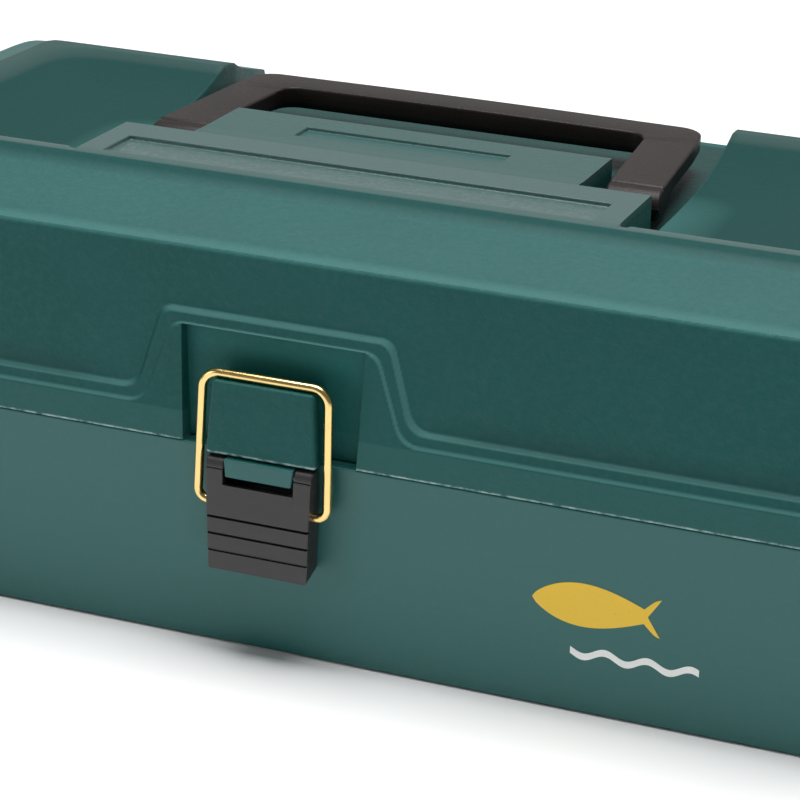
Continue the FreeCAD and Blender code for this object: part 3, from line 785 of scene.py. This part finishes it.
def addPaintedLedgeLight(piece):
    # painted light on the ledges: how steeply they rise at each point, from a difference across it; positive,
    # a painted highlight, where they face up or right, negative, painted shade, where they face left
    place = np.zeros(len(piece.data.vertices) * 3)
    piece.data.vertices.foreach_get("co", place)
    x, y, z = place.reshape(-1, 3).T / mm
    onFront, d = y < -92.0, 0.15
    up = (ledgeRaise(x, z - d, onFront) - ledgeRaise(x, z + d, onFront)) / (2 * d)
    right = (ledgeRaise(x - d, z, onFront) - ledgeRaise(x + d, z, onFront)) / (2 * d)
    inRecess = trapezoidDepth(x, z, [h + 1.0 for h in lid["recessHalf"]], partingZ, lid["recessTop"], 0.5) > 0
    ledgeLight = np.clip(up, 0, 1.2) + 0.7 * np.clip(right, 0, 1) - 0.7 * np.clip(-right, 0, 1)
    ledgeLight = ledgeLight * (z < 100) * ~(inRecess & onFront)
    attribute = piece.data.attributes.new("paintedLedgeLight", "FLOAT", "POINT")
    attribute.data.foreach_set("value", ledgeLight.astype(np.float32))


def makeLid():
    piece = makePiece("lidShell", [makeLidWalls(), makeLidTop()], "lid", materials["lid"])
    piece.data.set_sharp_from_angle(angle=math.radians(60))
    addPaintedLedgeLight(piece)
    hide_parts("lid_shell")


makeBase()
makeLid()
print("case made")


# catch on the lid and lug on the base
catch = {"bottomHalf": 15.8, "topHalf": 14.4, "bottomGap": 0.3, "frontY": -105.2, "topZ": 80.5, "round": 0.9}
leverPivot, bailPivot = pivotOf("lever_swing"), pivotOf("bail_swing")
lug = {"bottomHalf": 9.4, "topHalf": 10.0, "low": 54.1, "high": 59.2, "proud": 2.8, "backY": -97.0,
       "round": 0.4}


def latchBlock(bottomHalf, topHalf, low, high, frontY, backY):
    # block whose front is a trapezoid
    return prism([(-bottomHalf, low), (bottomHalf, low), (topHalf, high), (-topHalf, high)], 1, frontY, backY)


def makeCatchAndLug():
    c, g = catch, lug
    block = latchBlock(c["bottomHalf"], c["topHalf"], partingZ + c["bottomGap"], c["topZ"], c["frontY"],
                       lid["recessFloor"] + 1)
    makePiece("lidCatch", [block], "lid", materials["lid"], bevel=c["round"])
    block = latchBlock(g["bottomHalf"], g["topHalf"], g["low"], g["high"], leverPivot[1] - g["proud"],
                       g["backY"])
    makePiece("latchLug", [block], "base", materials["base"], bevel=g["round"])


makeCatchAndLug()


# hinge knuckles with their webs
knuckle = {"radius": 4.0, "x": 105.0, "lid": 16.0, "base": 10.0, "gap": 0.4, "webDeep": 1.4, "webTall": 9.0,
           "webClear": 0.5, "round": 0.3}


def knuckleShells(above):
    # short bars round the hinge's axis, each with a web to the wall: one a hinge on the lid, two on the base
    k = knuckle
    y, z = hinge[1], hinge[2]
    up = 1 if above else -1
    inner = base["rimHalf"][1] - k["webDeep"]
    near = k["lid"] / 2 + k["gap"]
    far = near + k["base"]
    offsets = ((-k["lid"] / 2, k["lid"] / 2),) if above else ((near, far), (-far, -near))
    web = [(y, z), (y + k["radius"] - 0.1, z), (inner, z + up * k["webTall"]),
           (inner, z + up * k["webClear"]), (y - 2.0, z + up * k["webClear"])]
    shells = []
    for middle in (-k["x"], k["x"]):
        for start, end in offsets:
            shells.append(turned(y, z, k["radius"], middle + start, middle + end))
            shells.append(prism(web, 0, middle + start + 0.3, middle + end - 0.3))
    return shells


for name, body, slot in (("lidKnuckles", "lid", "lid_green"), ("baseKnuckles", "base", "base_green")):
    makePiece(name, knuckleShells(body == "lid"), body, materials[body], smooth=False,
              bevel=knuckle["round"])
print("catch and hinge made")


# latch lever
lever = {"topHalf": 15.2, "bottomHalf": 14.3, "bottomZ": 26.6, "slotZ": 51.7, "slotHalf": 10.3,
         "proud": 2.8, "grooves": (42.1, 37.1, 32.1), "grooveHalf": 0.42, "grooveDeep": 1.4,
         "stepBack": 0.28, "faceTop": 56.0, "pocket": 8.0, "ease": 0.35, "lean": 0.6}


def makeLever():
    # a side outline carried across the middle, and a taller one beside the slot that rounds the pivot
    v = lever
    y, z = leverPivot[1], leverPivot[2]
    front = y - v["proud"]
    backTop = -(baseOuterHalf(z)[1] + 0.5)
    backBottom = -(baseOuterHalf(v["bottomZ"])[1] + 0.6)

    def faceAt(height):
        return front + v["lean"] * (z - height) / (z - v["bottomZ"])

    # front with three grooves, each strip a little further back than the one above, then bottom and back
    face = []
    for k, middle in enumerate(v["grooves"]):
        back, nextBack = k * v["stepBack"], (k + 1) * v["stepBack"]
        y0, half = faceAt(middle), v["grooveHalf"]
        face += [(y0 + back, middle + half), (y0 + v["grooveDeep"], middle + half * 0.6),
                 (y0 + v["grooveDeep"], middle - half * 0.6), (y0 + nextBack, middle - half)]
    face += [(faceAt(v["bottomZ"]) + nextBack, v["bottomZ"]), (backBottom, v["bottomZ"] + 2.2)]
    slot, pocketZ = faceAt(v["slotZ"]), v["slotZ"] - v["pocket"]
    middle = [(slot, v["slotZ"])] + face
    middle += [(backTop + 0.5, v["slotZ"] - 1.0), (backTop - 0.6, v["slotZ"] - 1.0), (backTop - 0.9, pocketZ),
               (slot + 2.0, pocketZ), (slot + 1.5, v["slotZ"])]
    ear = [(front + 0.55, v["faceTop"]), (front + 0.15, v["faceTop"]), (slot, v["faceTop"] - 0.4)] + face
    ear += [(backTop + 0.4, v["slotZ"] + 0.6)] + arcPoints((y, z), v["proud"] - 0.25, 0, 185, 18).tolist()

    def plate(outline, start, end, chamfer=0.0):
        # outline carried along X; the outer end is eased by drawing its last ring in
        outline = np.asarray(outline)
        centre = outline.mean(0)
        drawn = centre + (outline - centre) * (1 - 2 * chamfer / np.ptp(outline, axis=0))
        stations = [(start, outline), (end, drawn)]
        if chamfer:
            stations.insert(1, (end + math.copysign(chamfer, start - end), outline))
        return cappedTube([np.column_stack([np.full(len(ring), x), ring]) for x, ring in stations])

    def tapered(shell):
        # narrower towards the bottom, in even proportion to the height
        points, faces = shell
        share = np.clip((points[:, 2] - v["bottomZ"]) / (z + 3 - v["bottomZ"]), 0, 1)
        points[:, 0] *= (v["bottomHalf"] + (v["topHalf"] - v["bottomHalf"]) * share) / v["topHalf"]
        return points, faces

    shells = [tapered(plate(middle, -v["slotHalf"], v["slotHalf"]))]
    shells += [tapered(plate(ear, side * v["slotHalf"], side * v["topHalf"], v["ease"])) for side in (-1, 1)]
    piece = makePiece("latchLever", shells, "lever", materials["lever"], smooth=False)
    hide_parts("latch_lever")


makeLever()


# wire bail
bail = {"radius": 1.25, "bottomHalf": 18.7, "topHalf": 17.9, "endX": 12.4, "clear": 0.15,
        "bends": (3.0, 4.6, 4.6, 3.0)}


def roundedPath(corners, bends, steps=11):
    # straight runs joined by tangent arcs: an arc's centre lies on its corner's bisector, bend over the cosine
    # of half the turn away, and its points are bend times sine and cosine of the angle from there
    corners = np.asarray(corners, float)
    path = [corners[0][None, :]]
    for before, here, after, bend in zip(corners, corners[1:], corners[2:], bends):
        wayIn = (here - before) / np.linalg.norm(here - before)
        wayOut = (after - here) / np.linalg.norm(after - here)
        turn = math.acos(np.clip(wayIn @ wayOut, -1, 1))
        inward = (wayOut - wayIn) / np.linalg.norm(wayOut - wayIn)
        centre = here + inward * bend / math.cos(turn / 2)
        angle = np.linspace(-turn / 2, turn / 2, steps)[:, None]
        forward = (wayIn + wayOut) / np.linalg.norm(wayIn + wayOut)
        path.append(centre + bend * (np.sin(angle) * forward - np.cos(angle) * inward))
    path.append(corners[-1][None, :])
    return np.concatenate(path)


def makeBail():
    # wire from one end in the lever, up over the catch and down to the other
    w = bail
    y, low = bailPivot[1], bailPivot[2]
    high = catch["topZ"] + w["clear"] + w["radius"]
    right = [(w["endX"], y, low), (w["bottomHalf"], y, low), (w["topHalf"], y, high)]
    left = [(-x, yy, zz) for x, yy, zz in reversed(right)]
    wire = tube(roundedPath(right + left, w["bends"]), w["radius"])
    piece = makePiece("latchBail", [wire], "bail", materials["brass"])
    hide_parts("latch_bail")


makeBail()
print("latch made")


# carrying handle: a rounded section carried from one hub round the grip to the other
handle = {"outer": 78.4, "inner": 62.3, "hub": 5.0, "gripFront": 50.0, "gripBack": 64.0, "gripBottom": 114.2,
          "gripTop": 121.1, "crown": 0.5, "hubStep": 0.5, "lean": 5.0, "outerRound": 8.0, "innerRound": 5.0,
          "upperEdge": 0.8, "lowerEdge": 2.6}
handlePivot = pivotOf("handle_fold")


def handleOutlines():
    # outer and inner outlines seen from above, station by station: arm, corner, half of the grip, and mirrored
    h = handle
    py, front = handlePivot[1], handlePivot[1] - h["hub"]
    cornerY = h["gripFront"] - h["innerRound"]
    armY = front + h["hub"] * (1 - np.cos(np.linspace(0, np.pi / 2, 9)))
    armY = np.concatenate([armY, py + np.array([0.6, 1.1, 1.4, 1.65, 1.9, 2.3, 3.0]),
                           np.linspace(py + 4.5, cornerY, 14)])

    def armX(start, y):
        return start - h["lean"] * (y - front) / (h["gripBack"] - front)

    gripX = armX(h["inner"], h["gripFront"]) - h["innerRound"]
    gripStops = np.linspace(gripX, 0, 20)[1:]
    sides = []
    for start, edgeY, radius in ((h["outer"], h["gripBack"], h["outerRound"]),
                                 (h["inner"], h["gripFront"], h["innerRound"])):
        # straight up to the corner's arc, round it, and along the grip, at even steps of length
        arc = arcPoints((armX(start, edgeY) - radius, edgeY - radius), radius, 0, 90, 24)
        path = np.concatenate([[[armX(start, cornerY), cornerY]], arc, [[gripX, edgeY]]])
        along = np.concatenate([[0], np.cumsum(np.linalg.norm(np.diff(path, axis=0), axis=1))])
        stops = np.linspace(0, along[-1], 22)[1:]
        corner = np.stack([np.interp(stops, along, path[:, k]) for k in (0, 1)], axis=1)
        arm = np.stack([armX(start, armY), armY], axis=1)
        grip = np.stack([gripStops, np.full(len(gripStops), edgeY)], axis=1)
        half = np.concatenate([arm, corner, grip])
        sides.append(np.concatenate([half, half[-2::-1] * [-1, 1]]))
    return sides


def makeHandle():
    # at each station a section square to the outlines: flat top with small edges, lower corners rounded; top
    # and bottom run from the hub's circle to the grip's levels by even and smooth steps
    h = handle
    py, pz = handlePivot[1], handlePivot[2]
    outer, inner = handleOutlines()
    cx, cy = ((outer + inner) / 2).T
    span = np.linalg.norm(outer - inner, axis=1)
    outX, outY = (outer - inner).T / span
    gripY, backX = (h["gripFront"] + h["gripBack"]) / 2, h["outer"] - h["lean"]
    inArm = np.clip((gripY - 9 - cy) / (gripY - 9 - py - 6), 0, 1)
    crowned = h["crown"] * (1 - (cx / backX) ** 2) * (inArm == 0)
    topZ = h["gripTop"] + (pz + h["hub"] - h["gripTop"]) * inArm + crowned
    bottomZ = h["gripBottom"] + (pz - h["hub"] - h["gripBottom"]) * smoothStep(py + 18, py + 4, cy)
    reach = np.sqrt(np.clip(h["hub"] ** 2 - np.minimum(cy - py, 0) ** 2, 0.02, None))
    topZ = np.where(cy < py, pz + reach, topZ)
    bottomZ = np.where(cy < py, pz - reach, bottomZ)
    topZ = topZ - h["hubStep"] * (1 - smoothStep(py + 1.2, py + 1.9, cy))
    small, low = [np.minimum(h[key], (topZ - bottomZ) * 0.45) for key in ("upperEdge", "lowerEdge")]
    ring = []
    for side, startAngle, rounding, level in ((1, 0, small, topZ - small), (-1, 90, small, topZ - small),
                                              (-1, 180, low, bottomZ + low), (1, 270, low, bottomZ + low)):
        for angle in np.radians(startAngle + np.linspace(0, 90, 6)):
            across = side * (span / 2 - rounding) + rounding * math.cos(angle)
            height = level + rounding * math.sin(angle)
            ring.append(np.stack([cx + outX * across, cy + outY * across, height], axis=1))
    shell = cappedTube(np.array(ring).transpose(1, 0, 2))
    piece = makePiece("carryHandle", [shell], "handle", materials["handle"])
    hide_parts("carry_handle")


makeHandle()
print("handle made")


# the parts that keep their own solids, with their finishes
stayingFinish = {"tray": "tray", "tray_divider": "tray", "link_arm": "lever", "latch_pin": "steel",
                 "handle_pin": "darkSteel", "hinge_pin": "steel", "base_rivet": "steel",
                 "tray_rivet": "steel", "lid_rivet": "steel"}
for name, node in frame["nodes"].items():
    for start, finish in stayingFinish.items():
        if name.startswith(start):
            node.data.materials.clear()
            node.data.materials.append(materials[finish])


# generic badge on the front: a plain fish outline with a wave under it
badge = {"centre": (92.5, 32.5), "length": 35.0, "height": 13.5, "proud": 0.12, "sunk": 0.3, "notch": 3.5,
         "tail": 0.36, "wave": (103.5, 18.4), "waveWidth": 2.0, "waveHeight": 1.1, "waveCount": 3}


def frontPatch(outline, name, material):
    # flat outline in X and Z laid on the drafted front, as a thin closed plate
    x, z = np.asarray(outline, float).T
    y = -baseOuterHalf(z)[1]
    plate = cappedTube([np.stack([x, y + off, z], axis=1) for off in (-badge["proud"], badge["sunk"])])
    makePiece(name, [plate], "base", material, smooth=False)


def makeBadge():
    # the fish's half height is a power of the sine along its length, widening again to a notched tail; the
    # wave is a sine with an even width
    g = badge
    cx, cz = g["centre"]
    s = np.linspace(0, 1, 40)
    half = g["height"] / 2 * np.sin(np.pi * s ** 0.8) ** 0.9 * (1 - 0.15 * s)
    tail = smoothStep(0.80, 1.0, s) * g["height"] * g["tail"]
    spread = np.maximum(half, 0.7 + tail)
    spread[0] = 0.0
    x = cx - g["length"] / 2 + g["length"] * s
    upper = np.stack([x, cz + spread], axis=1)
    lower = np.stack([x[::-1], cz - spread[::-1]], axis=1)[:-1]
    notch = (cx + g["length"] / 2 - g["notch"], cz)
    frontPatch(np.concatenate([upper, [notch], lower]), "badgeFish", materials["yellow"])
    wx = g["wave"][0] + np.linspace(-0.5, 0.5, 60) * g["length"]
    wz = g["wave"][1] + g["waveHeight"] * np.sin((wx - cx) / g["length"] * 2 * np.pi * g["waveCount"])
    rims = [np.stack([wx, wz + side * g["waveWidth"] / 2], axis=1) for side in (1, -1)]
    frontPatch(np.concatenate([rims[0], rims[1][::-1]]), "badgeWave", materials["white"])


makeBadge()


# stage, light and camera
stage = {"floorSize": 6.0, "worldStrength": 0.15, "view": "Standard"}
bpy.ops.mesh.primitive_plane_add(size=stage["floorSize"], location=(0, 0, 0))
floor = bpy.context.object
floor.name = "floor"
floor.data.materials.append(floorPaper())

world = bpy.data.worlds.new("studio")
bpy.context.scene.world = world
world.use_nodes = True
background = world.node_tree.nodes["Background"]
background.inputs["Color"].default_value = (1.0, 1.0, 1.0, 1)
background.inputs["Strength"].default_value = stage["worldStrength"]

# each panel: place and aim in metres, size and power
lamps = {"overhead": ((0.0, 0.05, 1.9), (0.0, 0.05, 0.0), (1.3, 1.3), 58),
         "backPanel": ((0.0, 2.1, 1.05), (0.0, 0.0, 0.7), (5.0, 1.7), 11),
         "leftFront": ((-1.3, -1.3, 0.55), (0, -0.1, 0.06), (0.8, 0.8), 5)}


def areaLight(name, place, target, size, power):
    light = bpy.data.lights.new(name, "AREA")
    light.shape = "RECTANGLE"
    light.size, light.size_y = size
    light.energy = power
    lamp = bpy.data.objects.new(name, light)
    bpy.context.scene.collection.objects.link(lamp)
    lamp.location = place
    lamp.rotation_euler = (Vector(target) - Vector(place)).to_track_quat("-Z", "Y").to_euler()


for name, settings in lamps.items():
    areaLight(name, *settings)

# place in metres, angles in degrees, lens and sensor in millimetres
view = {"place": (0.2648, -0.7482, 0.3328), "azimuth": 19.384, "elevation": 20.071, "roll": 2.696,
        "lens": 126.69, "sensor": 36.0}


def makeCamera():
    # looks along its azimuth and elevation, then tilts by its roll
    az, el, roll = (math.radians(view[k]) for k in ("azimuth", "elevation", "roll"))
    back = Vector((math.sin(az) * math.cos(el), -math.cos(az) * math.cos(el), math.sin(el)))
    right = Vector((math.cos(az), math.sin(az), 0))
    up = back.cross(right)
    tiltedRight = right * math.cos(roll) + up * math.sin(roll)
    tiltedUp = up * math.cos(roll) - right * math.sin(roll)
    data = bpy.data.cameras.new("camera")
    data.lens, data.sensor_width = view["lens"], view["sensor"]
    data.clip_start = 0.01
    camera = bpy.data.objects.new("camera", data)
    bpy.context.scene.collection.objects.link(camera)
    turnTo = Matrix((tiltedRight, tiltedUp, back)).transposed()
    camera.matrix_world = Matrix.Translation(view["place"]) @ turnTo.to_4x4()
    bpy.context.scene.camera = camera


makeCamera()
bpy.context.scene.view_settings.view_transform = stage["view"]
print("stage made")
